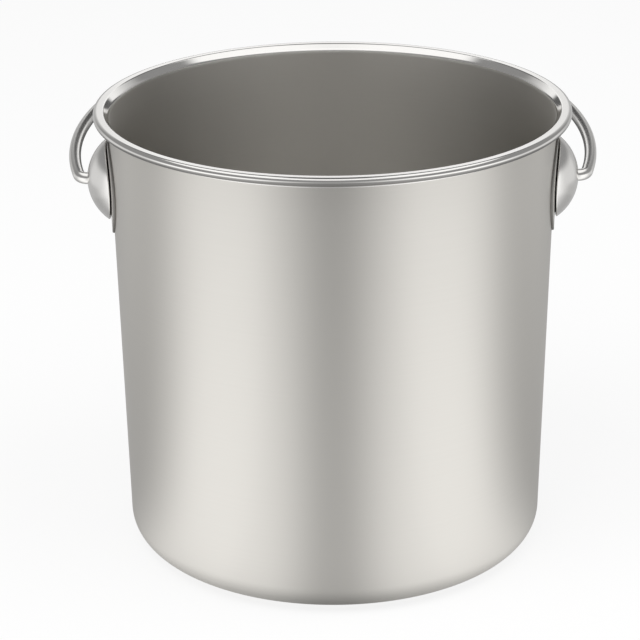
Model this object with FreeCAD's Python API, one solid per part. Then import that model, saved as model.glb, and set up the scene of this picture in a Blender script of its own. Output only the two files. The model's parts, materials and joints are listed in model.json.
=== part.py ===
# Food storage bucket: a drawn steel body with a rolled rim, two welded ears and a swinging wire bail.
# Millimetres and degrees. +Z is up, the front is at -Y, the origin is the centre of the underside.
import FreeCAD, Part
import math
import os

# Body, one drawn sheet
mouth_radius = 110.5        # inside of the wall, carried straight up to the rim's top
bucket_height = 228.5
draft_angle = 1.33          # lean of the wall from upright
body_sheet = 0.8
corner_radius = 14.5        # outside of the bend between wall and floor

# Rim, the top of the same sheet: flared, turned out flat, rolled down and tucked back to the wall
rim_width = 7.9             # from the inside of the wall to the outer edge
flare_width = 2.8           # from the inside of the wall out to the mouth's edge
flare_height = 3.5
flare_bend_radius = 4.0     # mouth side of the bend from wall to flare
edge_radius = 0.9           # mouth side of the bend from flare to flat
roll_height = 4.2
roll_inside_share = 0.47    # of the clear height inside the roll
lip_height = 2.2            # the tucked edge, turned down along the wall
lip_gap = 0.3               # between that edge and the wall
lip_bend_radius = 0.3

# Ear plates, curved to the wall
rim_to_plate = 3.9          # bare wall between the lip and the plate
plate_sheet = 0.8
plate_border = 6.5          # of the plate round the dome
weld_gap = 0.3              # between welded faces

# Ear domes, pressed cups on the plates
dome_radius = 21.0          # where the dome meets the plate above and below its crown
dome_height = 11.5          # crown above the plate
dome_sheet = 0.8
seam_gap = 0.7              # between the dome's edge and the plate
foot_inset = 2.5            # from the dome's edge in to its foot

# Bail, one bent rod with upset ends
rod_radius = 3.0
pivot_clearance = 0.06      # round the rod in the dome's hole
end_bend_radius = 4.6       # centre line of the bend at each end
leg_clear = 8.6             # leg's centre line beyond the dome's crown, at its widest
crown_clear = 23.5          # crown's centre line beyond the rim, folded flat
crown_length = 44.0         # straight stretch of the crown
head_radius = 4.5
head_length = 2.5
end_play = 0.4              # between a head and the inside of its dome
rest_angle = 11.0           # the folded bail's tilt above level

# One overrun serves all cuts, and shorter edges than the tolerance are dropped
overrun = 5.0
join_tolerance = 0.0001

x_axis = FreeCAD.Vector(1, 0, 0)
z_axis = FreeCAD.Vector(0, 0, 1)
sides = {"left": -1, "right": 1}

# Places that several pieces share
draft_slope = math.tan(math.radians(draft_angle))
rim_radius = mouth_radius + rim_width
rim_underside = bucket_height - roll_height
lip_bottom = rim_underside - lip_height
plate_radius = dome_radius + plate_border
pivot_height = lip_bottom - rim_to_plate - plate_radius


def wall_inside(height):
    return mouth_radius - (bucket_height - height) * draft_slope


def wall_outside(height):
    return wall_inside(height) + body_sheet / math.cos(math.radians(draft_angle))


plate_inside = weld_gap                          # the next four stand off from the wall's outside
plate_outside = plate_inside + plate_sheet
foot_offset = plate_outside + weld_gap
seam_offset = plate_outside + seam_gap

dome_crown = wall_outside(pivot_height) + plate_outside + dome_height
dome_sphere = (dome_radius ** 2 + dome_height ** 2) / (2 * dome_height)
dome_centre = dome_crown - dome_sphere
dome_inside = dome_sphere - dome_sheet
foot_radius = dome_radius - foot_inset

head_face = dome_centre + math.sqrt(dome_inside ** 2 - head_radius ** 2) - end_play
bail_reach = rim_radius + crown_clear
leg_radius = dome_crown + leg_clear - crown_length / 2      # one round leg on each side of the crown


def rounded_edges(corners):
    """A closed line of edges through corners, each a point and the radius of the arc that rounds it off."""
    count = len(corners)
    ends = []
    for index, (corner, radius) in enumerate(corners):
        if radius == 0:
            ends.append((corner, corner, None))
            continue
        back = (corners[index - 1][0] - corner).normalize()
        ahead = (corners[(index + 1) % count][0] - corner).normalize()
        half_turn = back.getAngle(ahead) / 2
        inward = (back + ahead).normalize()
        setback = radius / math.tan(half_turn)
        middle = corner + inward * (radius / math.sin(half_turn) - radius)
        ends.append((corner + back * setback, corner + ahead * setback, middle))
    edges = []
    for index, (start, finish, middle) in enumerate(ends):
        if middle is not None:
            edges.append(Part.Arc(start, middle, finish).toShape())
        following = ends[(index + 1) % count][0]
        if finish.distanceToPoint(following) > join_tolerance:
            edges.append(Part.LineSegment(finish, following).toShape())
    return edges


def wall_cone(offset):
    """The space within the wall's outside, moved out by the offset, beside an ear."""
    low = pivot_height - plate_radius - overrun
    high = pivot_height + plate_radius + overrun
    foot = FreeCAD.Vector(0, 0, low)
    cone = Part.makeCone(wall_outside(low) + offset, wall_outside(high) + offset, high - low, foot, z_axis)
    return cone.rotate(foot, z_axis, 90)         # its seam is turned away from both ears


def ear_rod(radius, start, finish, side):
    """A round bar on the pivot line, between two distances from the bucket's axis."""
    base = FreeCAD.Vector(side * start, 0, pivot_height)
    return Part.makeCylinder(radius, finish - start, base, x_axis * side)


def bucket_body():
    roll_inner = roll_inside_share * (roll_height - 2 * body_sheet)
    roll_outer = roll_inner + body_sheet
    lip_inside = wall_outside(rim_underside) + lip_gap
    lip_outside = lip_inside + body_sheet
    flange_underside = bucket_height - body_sheet
    tuck_top = rim_underside + body_sheet
    roll_inside = rim_radius - body_sheet
    mouth_edge = mouth_radius + flare_width
    flare_bottom = bucket_height - flare_height
    # The sheet's underside turns at points moved along by the sheet times the tangent of half the turn
    flare_turn = math.atan2(flare_height, mouth_edge - wall_inside(flare_bottom))
    wall_turn = math.radians(90 - draft_angle) - flare_turn
    edge_underside = mouth_edge + body_sheet * math.tan(flare_turn / 2)
    flare_foot = flare_bottom - body_sheet * math.tan(wall_turn / 2)
    outline = [
        (0, 0, 0),
        (wall_outside(0), 0, corner_radius),
        (wall_outside(flare_foot), flare_foot, flare_bend_radius - body_sheet),
        (edge_underside, flange_underside, edge_radius - body_sheet),
        (roll_inside, flange_underside, roll_inner),
        (roll_inside, tuck_top, roll_inner),
        (lip_inside, tuck_top, lip_bend_radius + body_sheet),
        (lip_inside, lip_bottom, 0),
        (lip_outside, lip_bottom, 0),
        (lip_outside, rim_underside, lip_bend_radius),
        (rim_radius, rim_underside, roll_outer),
        (rim_radius, bucket_height, roll_outer),
        (mouth_edge, bucket_height, edge_radius),
        (wall_inside(flare_bottom), flare_bottom, flare_bend_radius),
        (wall_inside(body_sheet), body_sheet, corner_radius - body_sheet),
        (0, body_sheet, 0),
    ]
    corners = [(FreeCAD.Vector(across, 0, up), radius) for across, up, radius in outline]
    section = Part.Face(Part.Wire(rounded_edges(corners)))
    return section.revolve(FreeCAD.Vector(), z_axis, 360)


def ear_plate(side):
    ring = wall_cone(plate_outside).cut(wall_cone(plate_inside))
    return ring.common(ear_rod(plate_radius, 0, dome_crown, side)).Solids[0]


def dome_point(sphere, across, side):
    """The point of a sphere round the dome's centre that lies so far above the pivot line."""
    along = dome_centre + math.sqrt(sphere ** 2 - across ** 2)
    return FreeCAD.Vector(side * along, 0, pivot_height + across)


def dome_arc(sphere, first, last, side):
    places = [first, (first + last) / 2, last]
    return Part.Arc(*[dome_point(sphere, across, side) for across in places]).toShape()


def ear_dome(side):
    hole_radius = rod_radius + pivot_clearance
    foot_inside = foot_radius - dome_sheet
    cup_inner = dome_arc(dome_inside, hole_radius, foot_inside, side)
    cup_outer = dome_arc(dome_sphere, dome_sphere, hole_radius, side)
    below_foot = FreeCAD.Vector(side * dome_centre, 0, pivot_height + foot_inside)
    corners = [cup_inner.lastVertex().Point, below_foot, cup_outer.firstVertex().Point]
    edges = [cup_inner, Part.makePolygon(corners), cup_outer]
    edges.append(Part.makeLine(cup_outer.lastVertex().Point, cup_inner.firstVertex().Point))
    section = Part.Face(Part.Wire([edge for piece in edges for edge in piece.Edges]))
    cup = section.revolve(FreeCAD.Vector(0, 0, pivot_height), x_axis, 360)
    seam = wall_cone(seam_offset).cut(ear_rod(foot_radius, 0, dome_crown, side))
    return cup.cut(wall_cone(foot_offset)).cut(seam).Solids[0]


def bail_arc(across, out, radius, first, last):
    """An arc in the bail's plane, between two angles from +X."""
    points = []
    for angle in (first, (first + last) / 2, last):
        place = (across + radius * math.cos(angle), out + radius * math.sin(angle), pivot_height)
        points.append(FreeCAD.Vector(*place))
    return Part.Arc(*points).toShape()


def bail():
    half_crown = crown_length / 2
    leg_out = bail_reach - leg_radius
    # The end bend touches the pivot line and, from inside, the leg's circle
    apart = leg_radius - end_bend_radius
    lean = math.asin((leg_out - end_bend_radius) / apart)
    bend_place = half_crown + apart * math.cos(lean)
    quarter = math.pi / 2
    left_bend = bail_arc(-bend_place, end_bend_radius, end_bend_radius, 3 * quarter, 2 * quarter + lean)
    left_leg = bail_arc(-half_crown, leg_out, leg_radius, 2 * quarter + lean, quarter)
    right_leg = bail_arc(half_crown, leg_out, leg_radius, quarter, -lean)
    right_bend = bail_arc(bend_place, end_bend_radius, end_bend_radius, -lean, -quarter)
    left_end = FreeCAD.Vector(head_length / 2 - head_face, 0, pivot_height)
    right_end = FreeCAD.Vector(head_face - head_length / 2, 0, pivot_height)
    path = Part.Wire([
        Part.makeLine(left_end, left_bend.firstVertex().Point), left_bend, left_leg,
        Part.makeLine(left_leg.lastVertex().Point, right_leg.firstVertex().Point), right_leg, right_bend,
        Part.makeLine(right_bend.lastVertex().Point, right_end),
    ])
    section = Part.Wire(Part.makeCircle(rod_radius, left_end, x_axis))
    rod = path.makePipe(Part.Face(section))
    rod_volume = math.pi * rod_radius ** 2 * path.Length
    print(f"bail rod: volume {rod.Volume:.1f}, section times length {rod_volume:.1f}, "
          f"straight beside each dome {bend_place - dome_crown:.2f}")
    for side in sides.values():
        rod = rod.fuse(ear_rod(head_radius, head_face - head_length, head_face, side))
    rod.rotate(FreeCAD.Vector(0, 0, pivot_height), x_axis, rest_angle)
    return rod.removeSplitter().Solids[0]


nodes = {"bucket_body": bucket_body(), "bail": bail()}
for side_name, side in sides.items():
    nodes[f"ear_plate_{side_name}"] = ear_plate(side)
    nodes[f"ear_dome_{side_name}"] = ear_dome(side)

os.makedirs("parts", exist_ok=True)
for name, shape in nodes.items():
    shape.exportStep(f"parts/{name}.step")
    box = shape.BoundBox
    print(f"{name}: {shape.ShapeType}, valid {shape.isValid()}, volume {shape.Volume:.0f}, "
          f"x {box.XMin:.2f} {box.XMax:.2f}, y {box.YMin:.2f} {box.YMax:.2f}, z {box.ZMin:.2f} {box.ZMax:.2f}")
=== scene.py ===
import json
import math

import bpy
import numpy as np
from mathutils import Matrix, Vector


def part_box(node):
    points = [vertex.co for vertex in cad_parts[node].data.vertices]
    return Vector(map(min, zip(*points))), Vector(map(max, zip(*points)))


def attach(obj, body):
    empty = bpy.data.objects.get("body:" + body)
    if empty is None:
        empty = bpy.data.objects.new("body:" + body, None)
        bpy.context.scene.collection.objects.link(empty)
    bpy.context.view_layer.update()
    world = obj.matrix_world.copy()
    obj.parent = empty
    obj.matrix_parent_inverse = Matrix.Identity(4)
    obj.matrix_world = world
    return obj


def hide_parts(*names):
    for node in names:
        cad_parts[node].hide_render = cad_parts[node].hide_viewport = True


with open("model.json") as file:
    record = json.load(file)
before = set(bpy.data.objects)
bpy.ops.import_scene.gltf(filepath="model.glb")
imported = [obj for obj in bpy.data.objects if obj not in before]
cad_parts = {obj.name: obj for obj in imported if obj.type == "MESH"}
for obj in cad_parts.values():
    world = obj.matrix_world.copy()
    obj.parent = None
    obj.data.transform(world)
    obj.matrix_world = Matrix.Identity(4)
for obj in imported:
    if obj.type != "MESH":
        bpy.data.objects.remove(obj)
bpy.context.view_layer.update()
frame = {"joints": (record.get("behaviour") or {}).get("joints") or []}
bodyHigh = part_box("bucket_body")[1]
pivotHeight = frame["joints"][0]["pos_m"][2]  # the line on which the bail swings, along X


def unit(vectors):
    return vectors / np.linalg.norm(vectors, axis=-1, keepdims=True)


def smoothStep(low, high, values):
    share = np.clip((values - low) / (high - low), 0, 1)
    return share * share * (3 - 2 * share)


# Up by one smooth step and down by another
def band(rise, top, fall, end, values):
    return smoothStep(rise, top, values) * (1 - smoothStep(fall, end, values))


def towards(start, target, share):
    return start + (target - start) * share


# An outline through corners of (point, radius, steps round the arc, steps on to the next corner). Each arc
# touches both sides of its corner, and its points are blends of its two ends about its centre, by the sines
# of the angles left and done. A corner's point may be an array of points, one for each column. The second
# array gives each row's corner by number.
def roundedOutline(corners):
    places = [np.asarray(corner[0], float) for corner in corners]
    arcs = []
    for index, (_, radius, arcSteps, _) in enumerate(corners):
        here = places[index]
        if not radius:
            arcs.append(here[None])
            continue
        back = unit(places[index - 1] - here)
        ahead = unit(places[index + 1] - here)
        half = np.arccos(np.sum(back * ahead, axis=-1, keepdims=True)) / 2
        sweep = np.pi - 2 * half
        centre = here + unit(back + ahead) * radius / np.sin(half)
        first = here + back * radius / np.tan(half) - centre
        last = here + ahead * radius / np.tan(half) - centre
        done = np.linspace(0, 1, arcSteps + 1).reshape(-1, *[1] * here.ndim)
        blend = np.sin((1 - done) * sweep) * first + np.sin(done * sweep) * last
        arcs.append(centre + blend / np.sin(sweep))
    rows, owners = [], []
    for index, arc in enumerate(arcs):
        stretch = [arc]
        if index + 1 < len(arcs):
            done = np.linspace(0, 1, corners[index][3] + 1)[1:-1].reshape(-1, *[1] * (arc.ndim - 1))
            stretch.append(towards(arc[-1], arcs[index + 1][0], done))
        rows.extend(stretch)
        owners.extend([index] * sum(len(part) for part in stretch))
    return np.concatenate(rows), np.array(owners)


# A closed surface from a grid of points: rows along a section, columns round it. Columns close on themselves,
# and rows close too or end at two poles. A point's normal is the cross product of the grid's two directions
# there, and all turn over together if the surface's volume comes out negative.
def gridPiece(name, grid, finishes, poles=None, finishRows=None, marks=None):
    rows, columns = grid.shape[:2]
    index = np.arange(rows * columns).reshape(rows, columns)
    points = grid.reshape(-1, 3)
    here = index if poles is None else index[:-1]
    ahead = np.roll(index, -1, 0) if poles is None else index[1:]
    quads = np.stack([here, np.roll(here, -1, 1), np.roll(ahead, -1, 1), ahead], -1).reshape(-1, 4)
    fans = np.empty((0, 3), int)
    if poles is None:
        along = np.roll(grid, -1, 0) - np.roll(grid, 1, 0)
    else:
        along = np.concatenate([grid[1:2] - grid[:1], grid[2:] - grid[:-2], grid[-1:] - grid[-2:-1]])
        low = np.stack([np.roll(index[0], -1), index[0], np.full(columns, len(points))], -1)
        high = np.stack([index[-1], np.roll(index[-1], -1), np.full(columns, len(points) + 1)], -1)
        fans = np.concatenate([low, high])
    normals = unit(np.cross(np.roll(grid, -1, 1) - np.roll(grid, 1, 1), along)).reshape(-1, 3)
    if poles is not None:
        points = np.concatenate([points, poles])
        ends = np.stack([normals[:columns].sum(0), normals[-columns:].sum(0)])
        normals = np.concatenate([normals, unit(ends)])
    corners = points[quads]
    halves = [np.cross(corners[:, second], corners[:, second + 1]) for second in (1, 2)]
    if np.sum(corners[:, 0] * sum(halves)) < 0:
        quads, fans, normals = quads[:, ::-1], fans[:, ::-1], -normals
    mesh = bpy.data.meshes.new(name)
    mesh.from_pydata(points.tolist(), [], quads.tolist() + fans.tolist())
    mesh.polygons.foreach_set("use_smooth", np.ones(len(mesh.polygons), bool))
    for finish in finishes:
        mesh.materials.append(finish)
    if finishRows is not None:
        slots = np.repeat(finishRows[:len(quads) // columns], columns)
        ends = np.repeat([finishRows[0], finishRows[-1]], len(fans) // 2)
        mesh.polygons.foreach_set("material_index", np.concatenate([slots, ends]).astype(np.int32))
    for mark, values in (marks or {}).items():
        flat = np.broadcast_to(values, (rows, columns)).ravel()
        if poles is not None:
            flat = np.concatenate([flat, [flat[0], flat[-1]]])
        mesh.attributes.new(mark, "FLOAT", "POINT").data.foreach_set("value", flat.astype(np.float32))
    mesh.normals_split_custom_set_from_vertices(normals.astype(np.float32))
    mesh.update()
    piece = bpy.data.objects.new(name, mesh)
    bpy.context.scene.collection.objects.link(piece)
    print("piece", name, "points", len(points), "faces", len(mesh.polygons))
    return piece


# A shader socket that takes part in Python expressions: each operator adds one Math node
class Wire:
    def __init__(self, nodes, socket):
        self.nodes = nodes
        self.socket = socket

    def maths(self, operation, *values):
        return self.nodes.node("ShaderNodeMath", {"operation": operation}, dict(enumerate(values)))

    def __add__(self, other):
        return self.maths("ADD", self, other)

    def __radd__(self, other):
        return self.maths("ADD", other, self)

    def __sub__(self, other):
        return self.maths("SUBTRACT", self, other)

    def __rsub__(self, other):
        return self.maths("SUBTRACT", other, self)

    def __mul__(self, other):
        return self.maths("MULTIPLY", self, other)

    def __rmul__(self, other):
        return self.maths("MULTIPLY", other, self)


# The node tree of one material or of the world
class Nodes:
    def __init__(self, holder):
        holder.use_nodes = True
        self.tree = holder.node_tree
        self.tree.nodes.clear()

    def node(self, kind, settings=None, sockets=None, out=0):
        made = self.tree.nodes.new(kind)
        for key, value in (settings or {}).items():
            setattr(made, key, value)
        for key, value in (sockets or {}).items():
            if isinstance(value, Wire):
                self.tree.links.new(value.socket, made.inputs[key])
            else:
                made.inputs[key].default_value = value
        return Wire(self, made.outputs[out]) if len(made.outputs) else None

    def mark(self, name):
        return self.node("ShaderNodeAttribute", {"attribute_name": name}, out="Fac")

    def noise(self, place, scale, detail, roughness):
        sockets = {"Vector": place, "Scale": scale, "Detail": detail, "Roughness": roughness}
        return self.node("ShaderNodeTexNoise", None, sockets)

    def blend(self, share, first, second):
        sockets = {"Factor": share, 6: (*first, 1) if isinstance(first, tuple) else first}
        sockets[7] = (*second, 1) if isinstance(second, tuple) else second
        return self.node("ShaderNodeMix", {"data_type": "RGBA"}, sockets, out=2)


noiseMiddle = 0.5  # a noise's mean, which leaves the roughness as it is given

satinSteel = {
    "bright": (0.775, 0.755, 0.715),
    "dull": (0.725, 0.705, 0.665),
    # the welds' own dark tint, and painted shade along the plates' edges
    "seam": (0.10, 0.096, 0.09),
    "roughness": 0.43,
    "roughnessSpread": 0.07,
    "anisotropy": 0.88,
    "anisotropyTurn": 0.25,      # smears reflections across the brush lines, up and down the wall
    "linesPerMetre": 1500.0,
    "lineDrift": 9.0,            # how fast a line changes on its way round
    "lineNoise": (1.0, 3.0, 0.6),        # scale, detail and roughness
    "cloudNoise": (16.0, 3.0, 0.55),
    "lineShare": 0.6,            # the clouds take the rest
    "lineDepth": 0.000004,
    "bumpStrength": 0.35,
}


# Brushed sheet: lines that run round the bucket, each at one distance along the drawn section. Its one
# darkening mark gives spot welds their own dark tint and paints shade along the plates' cut edges.
def makeSatinSteel():
    spec = satinSteel
    finish = bpy.data.materials.new("satinSteel")
    nodes = Nodes(finish)
    place = nodes.node("ShaderNodeTexCoord", out="Object")
    split = nodes.node("ShaderNodeSeparateXYZ", None, {0: place}).socket.node
    across, deep = Wire(nodes, split.outputs["X"]), Wire(nodes, split.outputs["Y"])
    drawn = nodes.node("ShaderNodeCombineXYZ", None, {
        "X": nodes.mark("along") * spec["linesPerMetre"],
        "Y": across * spec["lineDrift"],
        "Z": deep * spec["lineDrift"],
    })
    lines = nodes.noise(drawn, *spec["lineNoise"])
    clouds = nodes.noise(place, *spec["cloudNoise"])
    share = lines * spec["lineShare"] + clouds * (1 - spec["lineShare"])
    clean = nodes.blend(share, spec["dull"], spec["bright"])
    bump = {"Height": lines, "Strength": spec["bumpStrength"], "Distance": spec["lineDepth"]}
    steel = nodes.node("ShaderNodeBsdfPrincipled", None, {
        # darkened by the welds' tint and by painted shade along the plates' edges
        "Base Color": nodes.blend(nodes.mark("seam"), clean, spec["seam"]),
        "Metallic": 1.0,
        "Roughness": (share - noiseMiddle) * spec["roughnessSpread"] + spec["roughness"],
        "Anisotropic": spec["anisotropy"],
        "Anisotropic Rotation": spec["anisotropyTurn"],
        "Normal": nodes.node("ShaderNodeBump", None, bump),
    })
    nodes.node("ShaderNodeOutputMaterial", None, {"Surface": steel})
    return finish


polishedSteel = {
    "bright": (0.84, 0.828, 0.808),
    "dull": (0.78, 0.768, 0.748),
    # painted shade in the rim's hollows and under its roll, and in the domes' gaps
    "seam": (0.05, 0.047, 0.043),
    "rimRoughness": 0.09,
    "earRoughness": 0.21,        # also the bail's
    "seamRoughness": 0.4,        # added where the painted shade is full
    "roughnessSpread": 0.08,
    "smudgeNoise": (70.0, 4.0, 0.6),     # scale, detail and roughness
    "grainNoise": (900.0, 2.0, 0.5),
    "smudgeShare": 0.7,          # the grain takes the rest
}


# Buffed steel with faint smudges and a fine grain, and the same mark for shade painted into hollows and gaps
def makePolishedSteel(name, roughness):
    spec = polishedSteel
    finish = bpy.data.materials.new(name)
    nodes = Nodes(finish)
    place = nodes.node("ShaderNodeTexCoord", out="Object")
    smudges = nodes.noise(place, *spec["smudgeNoise"])
    grain = nodes.noise(place, *spec["grainNoise"])
    share = smudges * spec["smudgeShare"] + grain * (1 - spec["smudgeShare"])
    # painted shade in hollows and gaps
    seam = nodes.mark("seam")
    clean = nodes.blend(share, spec["dull"], spec["bright"])
    uneven = (share - noiseMiddle) * spec["roughnessSpread"] + roughness
    steel = nodes.node("ShaderNodeBsdfPrincipled", None, {
        "Base Color": nodes.blend(seam, clean, spec["seam"]),
        "Metallic": 1.0,
        "Roughness": uneven + seam * spec["seamRoughness"],
    })
    nodes.node("ShaderNodeOutputMaterial", None, {"Surface": steel})
    return finish


satinFinish = makeSatinSteel()
rimFinish = makePolishedSteel("rimSteel", polishedSteel["rimRoughness"])
polishedFinish = makePolishedSteel("polishedSteel", polishedSteel["earRoughness"])
print("materials made")


bucketShell = {
    "sheet": 0.0008,
    "draft": 1.33,               # degrees that the wall leans from upright
    "cornerRadius": 0.0145,
    "rimWidth": 0.0079,
    "flareWidth": 0.0028,        # from the wall out to the mouth's edge
    "flareHeight": 0.0035,
    "flareBend": 0.004,
    "edgeBend": 0.0009,
    "rollHeight": 0.0042,
    "rollInner": 0.001222,
    "lipHeight": 0.0022,
    "lipGap": 0.0003,
    "lipBend": 0.0003,
    "lipEdge": 0.00036,
    "poleRing": 0.004,
    "columns": 320,
    "seamMarks": {                       # painted shade, by the corners named below
        "hollowTop": 0.9,
        "hollowLow": 0.9,
        "tuck": 0.9,
        "lipInside": 0.6,
        "lipBend": 0.75,
        "rollLow": 0.75,
    },
    "rollMarkFade": (0.0011, 0.0039),    # height above the rim's underside over which rollLow's painted shade fades
}
bucketHeight = bodyHigh.z
rimRadius = max(bodyHigh.x, bodyHigh.y)
draftSlope = math.tan(math.radians(bucketShell["draft"]))


def wallInside(height):
    return rimRadius - bucketShell["rimWidth"] - (bucketHeight - height) * draftSlope


def wallOutside(height):
    return wallInside(height) + bucketShell["sheet"] / math.cos(math.radians(bucketShell["draft"]))


# The drawn sheet's section carried round the axis: a point is its radius times the turn's cosine and sine,
# and its height. The rows from the outside of the flare over the roll to the mouth are polished.
def makeBucketShell():
    spec = bucketShell
    sheet = spec["sheet"]
    rimUnderside = bucketHeight - spec["rollHeight"]
    lipBottom = rimUnderside - spec["lipHeight"]
    flangeUnderside = bucketHeight - sheet
    tuckTop = rimUnderside + sheet
    rollInside = rimRadius - sheet
    rollOuter = spec["rollInner"] + sheet
    lipInside = wallOutside(rimUnderside) + spec["lipGap"]
    lipOutside = lipInside + sheet
    mouthEdge = rimRadius - spec["rimWidth"] + spec["flareWidth"]
    flareBottom = bucketHeight - spec["flareHeight"]
    flareTurn = math.atan2(spec["flareHeight"], mouthEdge - wallInside(flareBottom))
    wallTurn = math.radians(90 - spec["draft"]) - flareTurn
    flareFoot = flareBottom - sheet * math.tan(wallTurn / 2)
    edgeUnderside = mouthEdge + sheet * math.tan(flareTurn / 2)
    corners = {
        "floor": ((spec["poleRing"], 0), 0, 0, 12),
        "foot": ((wallOutside(0), 0), spec["cornerRadius"], 18, 40),
        "flareFoot": ((wallOutside(flareFoot), flareFoot), spec["flareBend"] - sheet, 8, 3),
        "mouthUnder": ((edgeUnderside, flangeUnderside), spec["edgeBend"] - sheet, 4, 3),
        "hollowTop": ((rollInside, flangeUnderside), spec["rollInner"], 8, 1),
        "hollowLow": ((rollInside, tuckTop), spec["rollInner"], 8, 3),
        "tuck": ((lipInside, tuckTop), spec["lipBend"] + sheet, 8, 1),
        "lipInside": ((lipInside, lipBottom), spec["lipEdge"], 6, 1),
        "lipOutside": ((lipOutside, lipBottom), spec["lipEdge"], 6, 1),
        "lipBend": ((lipOutside, rimUnderside), spec["lipBend"], 6, 3),
        "rollLow": ((rimRadius, rimUnderside), rollOuter, 14, 1),
        "rollTop": ((rimRadius, bucketHeight), rollOuter, 14, 5),
        "mouth": ((mouthEdge, bucketHeight), spec["edgeBend"], 14, 4),
        "flare": ((wallInside(flareBottom), flareBottom), spec["flareBend"], 10, 40),
        "insideFoot": ((wallInside(sheet), sheet), spec["cornerRadius"] - sheet, 18, 12),
        "insideFloor": ((spec["poleRing"], sheet), 0, 0, 0),
    }
    section, owners = roundedOutline(list(corners.values()))
    owner = np.array(list(corners))[owners]
    radius, height = section[:, :1], section[:, 1:]
    turn = np.linspace(0, 2 * np.pi, spec["columns"], endpoint=False)
    grid = np.stack([radius * np.cos(turn), radius * np.sin(turn), height + 0 * turn], -1)
    along = np.concatenate([[0], np.cumsum(np.linalg.norm(np.diff(section, axis=0), axis=1))])
    rimStart = np.argmax(owner == "flareFoot")
    rimEnd = np.max(np.nonzero(section[:, 1] > flareBottom)[0])
    rimRows = np.zeros(len(section), int)
    rimRows[rimStart:rimEnd] = 1
    # Shade painted into the roll's hollow and tuck, on the lip and its bend under the roll, and fading up the
    # roll's lower half
    seam = np.zeros((len(section), 1))
    for name, mark in spec["seamMarks"].items():
        seam[owner == name] = mark
    fade = 1 - smoothStep(*spec["rollMarkFade"], height - rimUnderside)
    seam[owner == "rollLow"] *= fade[owner == "rollLow"]
    poles = np.array([[0, 0, 0], [0, 0, sheet]])
    marks = {"along": along[:, None], "seam": seam}
    return gridPiece("bucketShell", grid, [satinFinish, rimFinish], poles, rimRows, marks)


shell = makeBucketShell()
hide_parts("bucket_body")
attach(shell, "bucket")


earPlate = {
    "sunk": 0.0002,              # how far its back lies in the wall's sheet, as if welded
    "edgeRound": 0.0005,
    "border": 0.0065,            # of the plate round the dome
    "weldCount": 4,
    "weldRadius": 0.0018,
    "weldDepth": 0.00016,
    "weldMark": 0.2,
    # painted shade along the plate's edge, where it meets the wall
    "edgeMark": 0.8,
    "edgeMarkFade": (1.0, 0.25),         # in from the plate's edge, as shares of the edge's round, over which its painted shade fades in
    "poleRing": 0.001,
    "columns": 288,
}
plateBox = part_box("ear_plate_right")
plateRadius = (plateBox[1].z - plateBox[0].z) / 2
plateStandOff = plateBox[1].x - wallOutside(plateBox[1].z)  # its outer face above the wall


# A point beside an ear, so far out from the wall: its distance along X follows the circle of the leaning wall
def earPoint(side, across, up, standOff):
    height = pivotHeight + up
    reach = np.sqrt((wallOutside(height) + standOff) ** 2 - across ** 2)
    return np.stack([side * reach, across, height + 0 * across], -1)


# A round plate bent to the wall: rings about the pivot line, each at its own stand-off, with shallow round
# dimples that fall off as a bell curve where the plate is spot-welded
def makeEarPlate(side, name):
    spec = earPlate
    top, bottom = plateStandOff, -spec["sunk"]
    rows, _ = roundedOutline([
        ((spec["poleRing"], top), 0, 0, 8),
        ((plateRadius - spec["border"], top), 0, 0, 20),
        ((plateRadius, top), spec["edgeRound"], 6, 1),
        ((plateRadius, bottom), spec["edgeRound"], 6, 12),
        ((spec["poleRing"], bottom), 0, 0, 0),
    ])
    ring, level = rows[:, :1], rows[:, 1:]
    turn = np.linspace(0, 2 * np.pi, spec["columns"], endpoint=False)
    across = ring * np.cos(turn)
    up = ring * np.sin(turn)
    weldTurn = (np.arange(spec["weldCount"]) + 0.5) * 2 * np.pi / spec["weldCount"]
    weldRing = plateRadius - spec["border"] / 2
    weldAcross, weldUp = weldRing * np.cos(weldTurn), weldRing * np.sin(weldTurn)
    away = np.hypot(across[..., None] - weldAcross, up[..., None] - weldUp)
    weld = np.exp(-(away / spec["weldRadius"]) ** 2).sum(-1) * (level > (top + bottom) / 2)
    grid = earPoint(side, across, up, level - weld * spec["weldDepth"])
    poles = np.stack([earPoint(side, np.zeros(1), np.zeros(1), end)[0] for end in (top, bottom)])
    # The edge's painted shade and the welds' own dark tint, in one mark
    fade = [plateRadius - share * spec["edgeRound"] for share in spec["edgeMarkFade"]]
    marks = {"along": ring, "seam": smoothStep(*fade, ring) * spec["edgeMark"] + weld * spec["weldMark"]}
    return gridPiece(name, grid, [satinFinish], poles, None, marks)


earDome = {
    "sheet": 0.0008,
    "radius": 0.021,             # where its sphere would meet the plate
    "seamGap": 0.0007,           # between the dome's edge and the plate
    "footInset": 0.0025,
    "footGap": 0.0003,
    "lipRound": 0.0004,
    "holeRadius": 0.00306,
    "holeRound": 0.0004,
    "capRows": 44,
    "edgeTries": 40,
    "columns": 224,
}
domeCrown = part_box("ear_dome_right")[1].x
domeRise = domeCrown - (wallOutside(pivotHeight) + plateStandOff)
domeSphere = (earDome["radius"] ** 2 + domeRise ** 2) / (2 * domeRise)
domeInside = domeSphere - earDome["sheet"]
domeCentre = domeCrown - domeSphere


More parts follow.
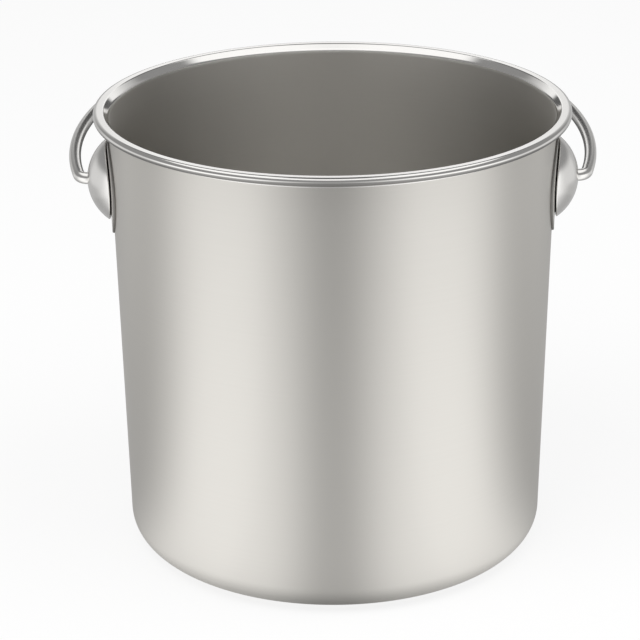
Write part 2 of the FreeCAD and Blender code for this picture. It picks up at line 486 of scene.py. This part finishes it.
# A pressed cap: a sphere about a point on the pivot line, from the hole at its crown out to where it meets
# the wall's circle, then a rounded lip, a gap, and a narrower foot down to the plate
def makeEarDome(side, name):
    spec = earDome
    turn = np.linspace(0, 2 * np.pi, spec["columns"], endpoint=False)

    def cap(sphere, out):
        return np.stack([out, domeCentre + np.sqrt(sphere ** 2 - out ** 2)], -1)

    def base(out, standOff):
        point = earPoint(1, out * np.cos(turn), out * np.sin(turn), standOff)
        return np.stack([out, point[:, 0]], -1)

    seamStand = plateStandOff + spec["seamGap"]
    footStand = plateStandOff + spec["footGap"]
    edge = np.full(spec["columns"], spec["radius"])
    for _ in range(spec["edgeTries"]):  # walks the edge out until sphere and wall are as far along X
        level = base(edge, seamStand)[:, 1] - domeCentre
        edge = np.sqrt(domeSphere ** 2 - level ** 2)
    hole = np.full(spec["columns"], spec["holeRadius"])
    foot = np.full(spec["columns"], spec["radius"] - spec["footInset"])
    footInside = foot - spec["sheet"]
    shares = np.linspace(0, 1, spec["capRows"])[1:, None]
    outer = cap(domeSphere, towards(hole, edge, shares))
    inside = cap(domeInside, towards(hole, footInside, shares[-4::-4]))
    lip, _ = roundedOutline([
        (outer[-3], 0, 0, 1),
        (outer[-1], spec["lipRound"], 10, 2),
        (base(foot, seamStand), 0, 0, 1),
    ])
    under, _ = roundedOutline([
        (base(foot, seamStand), 0, 0, 3),
        (base(foot, footStand), 0, 0, 1),
        (base(footInside, footStand), 0, 0, 3),
        (cap(domeInside, footInside), 0, 0, 1),
    ])
    neck, _ = roundedOutline([
        (cap(domeInside, hole), 0, 0, 1),
        (cap(domeSphere, hole), spec["holeRound"], 6, 1),
        (outer[1], 0, 0, 1),
    ])
    crown = outer[2:-3]  # between the rows that neck and lip take
    rows = np.concatenate([crown, lip, under[1:], inside, neck])
    across = rows[..., 0] * np.cos(turn)
    up = rows[..., 0] * np.sin(turn)
    grid = np.stack([side * rows[..., 1], across, pivotHeight + up], -1)
    # Painted shade, at full strength, on the lip's underside and the foot, in the gap against the plate
    seam = np.zeros((len(rows), 1))
    seam[len(crown) + len(lip):][:len(under)] = 1.0
    return gridPiece(name, grid, [polishedFinish], None, None, {"seam": seam})


for side, sideName in ((-1, "left"), (1, "right")):
    plate = makeEarPlate(side, "earPlate" + sideName.title())
    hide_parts("ear_plate_" + sideName)
    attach(plate, "bucket")
    dome = makeEarDome(side, "earDome" + sideName.title())
    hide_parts("ear_dome_" + sideName)
    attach(dome, "bucket")


bailRod = {
    "rodRadius": 0.003,
    "endBend": 0.0046,
    "legClear": 0.0086,          # from the dome's crown to the widest place of the leg's centre line
    "crownLength": 0.044,        # straight stretch of the crown
    "restAngle": 11.0,           # degrees above level
    "headRadius": 0.0045,
    "headLength": 0.0025,
    "headPlay": 0.0004,
    "headRing": 0.4,             # the ring at a head's pole, as a share of its radius
    "edgeRound": 0.0005,
    "shankRows": 6,
    "bendRows": 21,
    "legRows": 101,
    "crownRows": 6,
    "columns": 48,
}
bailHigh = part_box("bail")[1]


# A round section carried along a line in the bail's own plane: a shank on the pivot line, a tight bend, a leg
# that is one round arc, and a straight crown. A point is the line's point plus the radius there times the
# cosine of the turn along the side direction and its sine along the plane's normal.
def makeBail():
    spec = bailRod
    tilt = math.radians(spec["restAngle"])
    head, edge = spec["headRadius"], spec["edgeRound"]
    headFace = domeCentre + math.sqrt(domeInside ** 2 - head ** 2) - spec["headPlay"]
    headBack = headFace - spec["headLength"]
    reach = (bailHigh.y - spec["rodRadius"]) / math.cos(tilt)
    halfCrown, bend = spec["crownLength"] / 2, spec["endBend"]
    leg = domeCrown + spec["legClear"] - halfCrown
    lean = math.asin((reach - leg - bend) / (leg - bend))  # where the end bend runs into the leg's circle
    bendPlace = halfCrown + (leg - bend) * math.cos(lean)
    shank = np.linspace(headFace, bendPlace, spec["shankRows"], endpoint=False)
    bendTurn = np.linspace(-np.pi / 2, -lean, spec["bendRows"])
    legTurn = np.linspace(-lean, np.pi / 2, spec["legRows"])[1:]
    crown = np.linspace(halfCrown, 0, spec["crownRows"])[1:]
    right = np.concatenate([
        np.stack([shank, 0 * shank], -1),
        np.stack([bendPlace + bend * np.cos(bendTurn), bend + bend * np.sin(bendTurn)], -1),
        np.stack([halfCrown + leg * np.cos(legTurn), reach - leg + leg * np.sin(legTurn)], -1),
        np.stack([crown, reach + 0 * crown], -1),
    ])
    rod = np.concatenate([right * [-1, 1], right[-2::-1]])
    rodAhead = unit(np.concatenate([rod[1:2] - rod[:1], rod[2:] - rod[:-2], rod[-1:] - rod[-2:-1]]))
    headPlaces = np.array([headBack, headBack, headBack + edge, headFace - edge, headFace, headFace])
    headPole, headNeck = spec["headRing"] * head, spec["rodRadius"] + edge
    headSizes = np.array([headPole, head - edge, head, head, head - edge, headNeck])
    headLine = np.stack([-headPlaces, 0 * headPlaces], -1)
    headAhead = np.tile([-1.0, 0], (len(headPlaces), 1))
    line = np.concatenate([headLine, rod, -headLine[::-1]])
    ahead = np.concatenate([headAhead, rodAhead, headAhead])
    size = np.concatenate([headSizes, np.full(len(rod), spec["rodRadius"]), headSizes[::-1]])[:, None]
    turn = np.linspace(0, 2 * np.pi, spec["columns"], endpoint=False)
    sideways = np.stack([-ahead[:, 1], ahead[:, 0]], -1)
    flat = line[:, None] + sideways[:, None] * (size * np.cos(turn))[..., None]
    across, out = flat[..., 0], flat[..., 1]
    off = size * np.sin(turn)
    back = out * math.cos(tilt) - off * math.sin(tilt)
    up = out * math.sin(tilt) + off * math.cos(tilt)
    grid = np.stack([across, back, pivotHeight + up], -1)
    poles = np.array([[-headBack, 0, pivotHeight], [headBack, 0, pivotHeight]])
    return gridPiece("bailRod", grid, [polishedFinish], poles, None, {"seam": 0.0})


bail = makeBail()
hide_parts("bail")
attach(bail, "bail")
print("pieces made")


studioFloor = {"radius": 8.0, "columns": 96, "colour": (0.88, 0.88, 0.88, 1), "whiteShare": 0.8}


# Rays that show the background: straight from the camera, or by way of metal or glass
def backgroundRays(nodes):
    rays = nodes.node("ShaderNodeLightPath").socket.node
    names = ("Is Camera Ray", "Is Glossy Ray", "Is Transmission Ray")
    straight, glossy, through = (Wire(nodes, rays.outputs[name]) for name in names)
    return straight.maths("MAXIMUM", straight.maths("MAXIMUM", straight, glossy), through)


# A flat disc; part of its white is its own where the background shows, and the rest is lit and takes the
# shadow
def makeFloor():
    spec = studioFloor
    turn = np.linspace(0, 2 * np.pi, spec["columns"], endpoint=False)
    rim = np.stack([spec["radius"] * np.cos(turn), spec["radius"] * np.sin(turn), 0 * turn], -1)
    mesh = bpy.data.meshes.new("studioFloor")
    mesh.from_pydata(rim.tolist(), [], [list(range(spec["columns"]))])
    finish = bpy.data.materials.new("studioFloor")
    nodes = Nodes(finish)
    lit = nodes.node("ShaderNodeBsdfDiffuse", None, {"Color": spec["colour"]})
    white = nodes.node("ShaderNodeEmission", None, {"Strength": 1.0})
    mixed = {0: backgroundRays(nodes) * spec["whiteShare"], 1: lit, 2: white}
    surface = nodes.node("ShaderNodeMixShader", None, mixed)
    nodes.node("ShaderNodeOutputMaterial", None, {"Surface": surface})
    mesh.materials.append(finish)
    floor = bpy.data.objects.new("studioFloor", mesh)
    bpy.context.scene.collection.objects.link(floor)


# Azimuths are degrees from the front, alike to left and right, and for backCard and backDark from the back
lightTent = {
    "radius": 0.42,
    "height": 0.75,
    "lift": 0.0015,                      # of the tent's foot above the floor
    "roofHole": 0.01,
    "tableInner": 0.0985,                # inner radius of the ring on the floor
    "tableRows": 32,
    "wallRows": 120,
    "roofRows": 16,
    "columns": 360,
    "front": 0.40,                       # strength of the wall there
    "flank": 0.53,
    "card": (2, 41, 57, 106),            # azimuth: rises from, to, falls from, to
    "cardStrength": 1.27,
    "sideCard": (74, 90, 112, 128),
    "sideCardFoot": (0.075, 0.12),       # rises in height from, to
    "sideCardStrength": 0.78,
    "cardTop": (0.23, 0.30),             # the cards end in height from, to
    "cardTopEnd": (125, 150),            # azimuth over which that end is given up
    "skirt": (146, 164),                 # azimuth over which it comes in, below the strip at the back
    "skirtStrength": 0.12,
    "backCard": (14, 36),                # half width, end of its fade
    "backBand": (0.285, 0.305, 0.415, 0.445),   # its height: rises from, to, falls from, to
    "backStrength": 1.05,
    "darkFoot": (0.42, 0.47),            # the dark band begins in height from, to
    "darkStrength": 0.30,
    "backDark": (22, 42),                # a darker part of it: half width, end of its fade
    "backDarkRoof": (0.04, 0.12),        # where that part begins on the roof, along Y
    "backDarkStrength": 0.08,
    "roofFoot": (0.64, 0.72),            # the dark band gives way to the roof in height from, to
    "roof": (0.08, 0.16),                # radius from, to
    "roofStrengths": (0.40, 1.2),        # within and beyond
    "table": (0.101, 0.126),             # radius from, to, on the ring
    "tableShares": (0.34, 0.96),         # of the wall's strength, within and beyond
    "tableFront": (6, 34),               # azimuth over which the front's gain ends
    "tableFrontGain": 1.70,
    "tableSides": (62, 90, 115, 140),
    "tableSidesLoss": 0.12,
}


# A round tent that only reflections see: a ring on the floor, a wall and a roof. Its strength is blended from
# one level to the next by smooth steps in azimuth, height and radius: tall cards to both sides of the front,
# weaker ones beside the ears, a strip at the back over a dim skirt, a dark band above them all, and a bright
# roof. The ring follows the foot of the wall.
def makeLightTent():
    spec = lightTent
    tableRows, wallRows, roofRows = spec["tableRows"], spec["wallRows"], spec["roofRows"]
    azimuth = np.linspace(-np.pi, np.pi, spec["columns"], endpoint=False)
    away = np.degrees(np.abs(azimuth))
    fromBack = 180 - away
    level = np.concatenate([
        np.full(tableRows, spec["lift"]),
        np.linspace(spec["lift"], spec["height"], wallRows),
        np.full(roofRows, spec["height"]),
    ])[:, None]
    radii = np.concatenate([
        towards(spec["tableInner"], spec["radius"], np.linspace(0, 1, tableRows) ** 2),
        np.full(wallRows, spec["radius"]),
        np.linspace(spec["radius"], spec["roofHole"], roofRows),
    ])[:, None]
    grid = np.stack([radii * np.sin(azimuth), -radii * np.cos(azimuth), level + 0 * azimuth], -1)

    wall = towards(spec["front"], spec["flank"], smoothStep(*spec["card"][1:3], away))
    wall = towards(wall, spec["cardStrength"], band(*spec["card"], away))
    sideCard = band(*spec["sideCard"], away) * smoothStep(*spec["sideCardFoot"], level)
    wall = towards(wall, spec["sideCardStrength"], sideCard)
    behind = 1 - smoothStep(*spec["backDark"], fromBack)
    dark = towards(spec["darkStrength"], spec["backDarkStrength"], behind)
    cardTop = smoothStep(*spec["cardTop"], level) * (1 - smoothStep(*spec["cardTopEnd"], away))
    wall = towards(wall, dark, cardTop)
    skirt = smoothStep(*spec["skirt"], away) * (1 - smoothStep(*spec["backBand"][:2], level))
    wall = towards(wall, spec["skirtStrength"], skirt)
    backCard = (1 - smoothStep(*spec["backCard"], fromBack)) * band(*spec["backBand"], level)
    wall = towards(wall, spec["backStrength"], backCard)
    wall = towards(wall, dark, smoothStep(*spec["darkFoot"], level))

    roof = towards(*spec["roofStrengths"], smoothStep(*spec["roof"], radii))
    roofDark = behind * smoothStep(*spec["backDarkRoof"], grid[..., 1])
    roof = towards(roof, spec["backDarkStrength"], roofDark)
    glow = towards(wall, roof, smoothStep(*spec["roofFoot"], level))

    table = towards(*spec["tableShares"], smoothStep(*spec["table"], radii[:tableRows]))
    table = table * towards(spec["tableFrontGain"], 1, smoothStep(*spec["tableFront"], away))
    table = table * (1 - spec["tableSidesLoss"] * band(*spec["tableSides"], away))
    glow[:tableRows] = table * glow[tableRows + 1]  # the wall's first row above its foot

    index = np.arange(glow.size).reshape(glow.shape)
    beside = np.roll(index, -1, 1)
    quads = np.stack([index[:-1], beside[:-1], beside[1:], index[1:]], -1)
    mesh = bpy.data.meshes.new("lightTent")
    mesh.from_pydata(grid.reshape(-1, 3).tolist(), [], quads.reshape(-1, 4).tolist())
    mesh.attributes.new("glow", "FLOAT", "POINT").data.foreach_set("value", glow.ravel().astype(np.float32))
    finish = bpy.data.materials.new("lightTent")
    nodes = Nodes(finish)
    light = nodes.node("ShaderNodeEmission", None, {"Color": nodes.mark("glow"), "Strength": 1.0})
    nodes.node("ShaderNodeOutputMaterial", None, {"Surface": light})
    mesh.materials.append(finish)
    tent = bpy.data.objects.new("lightTent", mesh)
    bpy.context.scene.collection.objects.link(tent)
    tent.visible_camera = False
    tent.visible_diffuse = False
    tent.visible_shadow = False
    tent.visible_transmission = False


studioLamps = {
    "lampKey": {"place": (-0.9, -0.9, 1.9), "size": 1.6, "power": 22.0},
    "lampFill": {"place": (1.1, -0.4, 1.7), "size": 1.6, "power": 14.0},
}


# Soft lamps that face the origin and aren't mirrored themselves
def makeLamps():
    for name, spec in studioLamps.items():
        light = bpy.data.lights.new(name, "AREA")
        light.size = spec["size"]
        light.energy = spec["power"]
        lamp = bpy.data.objects.new(name, light)
        lamp.location = spec["place"]
        lamp.rotation_euler = (-Vector(spec["place"])).to_track_quat("-Z", "Y").to_euler()
        lamp.visible_camera = False
        lamp.visible_glossy = False
        bpy.context.scene.collection.objects.link(lamp)


studioWorld = {"white": 1.0, "ambient": 0.62}


# White where the background shows, and dimmer as light on other things
def makeWorld():
    world = bpy.data.worlds.new("studioWorld")
    bpy.context.scene.world = world
    nodes = Nodes(world)
    level = backgroundRays(nodes) * (studioWorld["white"] - studioWorld["ambient"]) + studioWorld["ambient"]
    sky = nodes.node("ShaderNodeBackground", None, {"Color": (1, 1, 1, 1), "Strength": level})
    nodes.node("ShaderNodeOutputWorld", None, {"Surface": sky})


photoCamera = {
    "place": (0.0, -1.2, 0.5869),
    "pitch": 21.53,              # degrees down
    "yaw": -0.335,
    "roll": -0.49,
    "focalPixels": 2520.0,
    "imagePixels": 640.0,
    "sensor": 36.0,
}


# The camera looks along yaw and pitch, and its right and up directions turn about that line by the roll
def makeCamera():
    spec = photoCamera
    pitch, yaw, roll = (math.radians(spec[key]) for key in ("pitch", "yaw", "roll"))
    ahead = Vector((math.sin(yaw) * math.cos(pitch), math.cos(yaw) * math.cos(pitch), -math.sin(pitch)))
    right = Vector((math.cos(yaw), -math.sin(yaw), 0))
    up = right.cross(ahead)
    turnedRight = right * math.cos(roll) + up * math.sin(roll)
    turnedUp = up * math.cos(roll) - right * math.sin(roll)
    turned = Matrix((turnedRight, turnedUp, -ahead)).transposed()
    data = bpy.data.cameras.new("photoCamera")
    data.sensor_width = spec["sensor"]
    data.lens = spec["sensor"] * spec["focalPixels"] / spec["imagePixels"]
    camera = bpy.data.objects.new("photoCamera", data)
    camera.matrix_world = Matrix.Translation(spec["place"]) @ turned.to_4x4()
    bpy.context.scene.collection.objects.link(camera)
    bpy.context.scene.camera = camera


makeFloor()
makeLightTent()
makeLamps()
makeWorld()
makeCamera()
bpy.context.scene.view_settings.view_transform = "Standard"
print("studio made")
